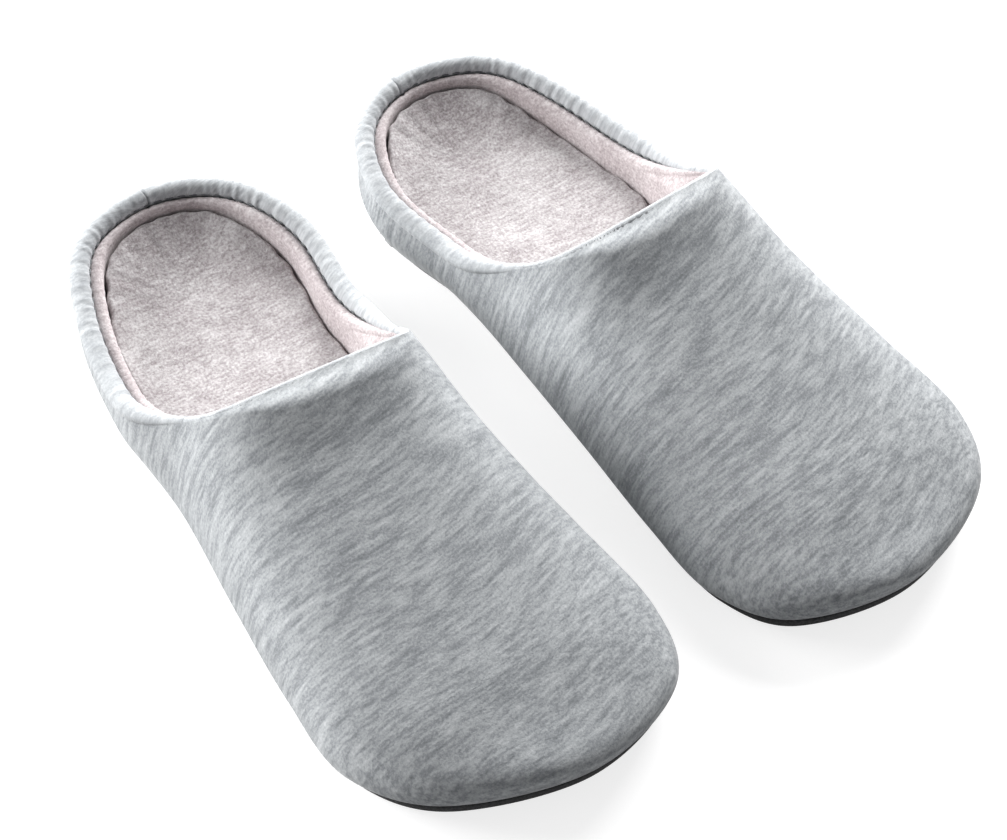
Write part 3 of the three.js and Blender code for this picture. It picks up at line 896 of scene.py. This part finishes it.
def footbed_foam(side):
    def low(y):
        return board_top(y) + GAP

    def relief(points, ring, share, top):
        if top:
            bed_relief(foam_top, points, ring, share)
        else:
            points[:, 2] = low(points[:, 1])
    edges = [bed_edge(low, 0), bed_edge(foam_top, 0)]
    return slab("footbed_foam", side, 160, 12, edges, MATERIALS["padding_foam"], relief)


def footbed_terry(side):
    def low(y):
        return foam_top(y) + GAP

    def high(y):
        return foam_top(y) + GAP + FOOTBED_TERRY + BED_CUP * (1 - smooth(y, *BED_CUP_PART))

    def relief(points, ring, share, top):
        bed_relief(high if top else low, points, ring, share)
        if top:
            flat = points * (1, 1, 0)
            tufts = fine_noise(flat, 1.4, 5.0) + 0.5 * fine_noise(flat, 0.8, 9.0)
            waves = fine_noise(flat, 13.0, 2.0)
            points[:, 2] += 0.13 * tufts + 0.35 * waves
    edges = [bed_edge(low, 0), bed_edge(lambda y: low(y) + 0.8, -0.3),
             bed_edge(lambda y: high(y) - 0.5, 0.1), bed_edge(high, 0.9)]
    # The footbed is drawn in the darker terry, painted shade.
    return slab("footbed_terry", side, 640, 62, edges, MATERIALS["bed_painted_shade"], relief)


# ---- One slipper ----
# The jersey is one panel wrapped round the last; the lining is a shallower one.
SLOTS = {
    "outsole": "rubber_outsole",
    "midsole": "eva_midsole",
    "insole_board": "insole_board",
    "footbed_foam": "padding_foam",
    "footbed_terry": "terry",
    "upper_knit": "jersey_knit",
    "upper_foam": "padding_foam",
    "upper_lining": "terry",
    "heel_counter": "heel_counter",
    "collar_roll": "jersey_knit",
    "collar_cord": "piping_cord",
    "collar_thread": "sewing_thread",
    "mouth_hem": "jersey_knit",
}
MAKERS = {
    "outsole": outsole,
    "midsole": midsole,
    "insole_board": insole_board,
    "footbed_foam": footbed_foam,
    "footbed_terry": footbed_terry,
    "upper_knit": upper_knit,
    "upper_foam": upper_foam,
    "upper_lining": upper_lining,
    "heel_counter": heel_counter,
    "collar_roll": collar_roll,
    "collar_cord": collar_cord,
    "collar_thread": collar_thread,
    "mouth_hem": mouth_hem,
}


def slipper(side):
    for name, maker in MAKERS.items():
        piece = maker(side)
        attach(piece, f"{side}_slipper")
        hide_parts(f"{side}_{name}")


slipper("right")
slipper("left")


# ---- Camera, floor and light ----
LENS = 95.4
CAMERA_AZIMUTH = math.radians(143.8)
CAMERA_HEIGHT = math.radians(47.53)
CAMERA_ROLL = 0.015
CAMERA_DISTANCE = 0.908
LOOK_AT = Vector((0.0035, -0.002, 0.0))
LENS_SHIFT = (0.0167, 0.0174)


def studio_camera():
    data = bpy.data.cameras.new("camera")
    data.lens = LENS
    data.sensor_width = 36
    data.shift_x, data.shift_y = LENS_SHIFT
    camera = linked("camera", data)
    back = Vector((math.sin(CAMERA_AZIMUTH) * math.cos(CAMERA_HEIGHT),
                   -math.cos(CAMERA_AZIMUTH) * math.cos(CAMERA_HEIGHT), math.sin(CAMERA_HEIGHT)))
    right = Vector((0, 0, 1)).cross(back).normalized()
    up = back.cross(right)
    axes = Matrix((right, up, back)).transposed() @ Matrix.Rotation(CAMERA_ROLL, 3, "Z")
    camera.matrix_world = Matrix.Translation(LOOK_AT + back * CAMERA_DISTANCE) @ axes.to_4x4()
    bpy.context.scene.camera = camera


def soft_light(name, place, size, power):
    data = bpy.data.lights.new(name, "AREA")
    data.shape = "SQUARE"
    data.size = size
    data.energy = power
    light = linked(name, data)
    light.location = place
    light.rotation_mode = "QUATERNION"
    light.rotation_quaternion = Vector(place).to_track_quat("Z", "Y")


# Brightness that the camera sees more of than the slippers do.
def glow(tree, seen_more, always):
    seen = add_node(tree, "ShaderNodeLightPath").outputs["Is Camera Ray"]
    return added(tree, seen, seen_more, always)


def studio():
    work = bmesh.new()
    bmesh.ops.create_grid(work, x_segments=1, y_segments=1, size=6.0)
    mesh = bpy.data.meshes.new("floor")
    work.to_mesh(mesh)
    work.free()
    floor = linked("floor", mesh)
    # The sweep is overexposed in view, but throws back little light.
    material, tree = blank("grey_paper_sweep")
    finished(tree, add_node(tree, "ShaderNodeBsdfPrincipled", Base_Color=linear("a8a8a8"), Roughness=0.9,
                            Emission_Color=linear("ffffff"), Emission_Strength=glow(tree, 0.68, 0.1)))
    mesh.materials.append(material)
    world = bpy.data.worlds.new("studio")
    world.use_nodes = True
    sky = world.node_tree.nodes["Background"]
    sky.inputs["Color"].default_value = linear("fdfdff")
    world.node_tree.links.new(glow(world.node_tree, 0.8, 0.27), sky.inputs["Strength"])
    bpy.context.scene.world = world
    soft_light("right_softbox", (-1.12, -0.82, 0.82), 1.2, 68)
    soft_light("left_softbox", (1.0, -1.15, 0.55), 0.9, 50)
    bpy.context.scene.view_settings.view_transform = "Standard"


studio_camera()
studio()
